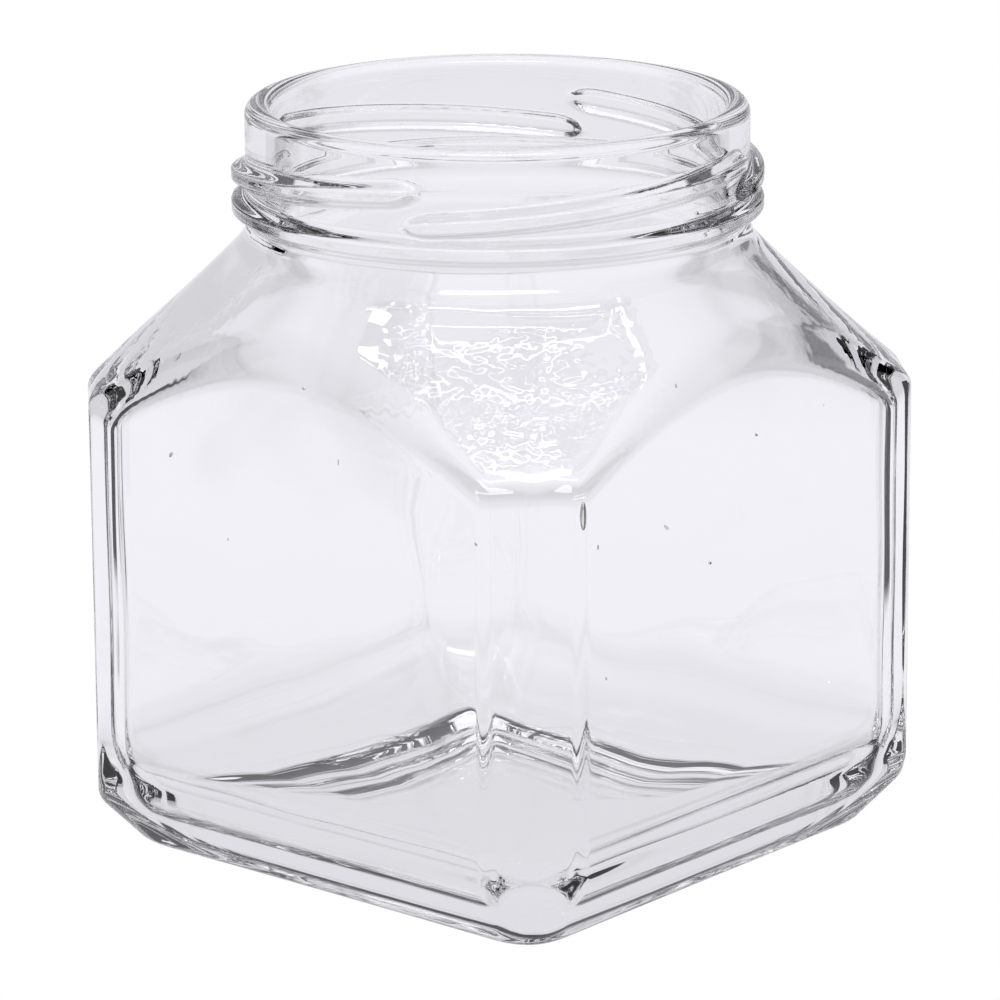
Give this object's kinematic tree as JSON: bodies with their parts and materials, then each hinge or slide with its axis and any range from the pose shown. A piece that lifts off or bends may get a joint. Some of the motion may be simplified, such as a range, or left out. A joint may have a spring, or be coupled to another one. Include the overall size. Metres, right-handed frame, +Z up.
{
  "type": "square glass jar",
  "caption": "Open, empty clear glass jar: square body with cut corners, arched shoulder and a round neck with slanting thread lugs for a twist-off lid.",
  "frame": {"origin": "middle of the base, on the surface that the jar stands on", "axes": "+Z up along the neck's axis; the four flat panels face +X, -X, +Y and -Y"},
  "size_m": [0.0768, 0.0768, 0.0905],
  "materials": {
    "clear_glass": "clear, colourless and glossy"
  },
  "bodies": {
    "root": {"glass_jar": "clear_glass"}
  },
  "joints": []
}
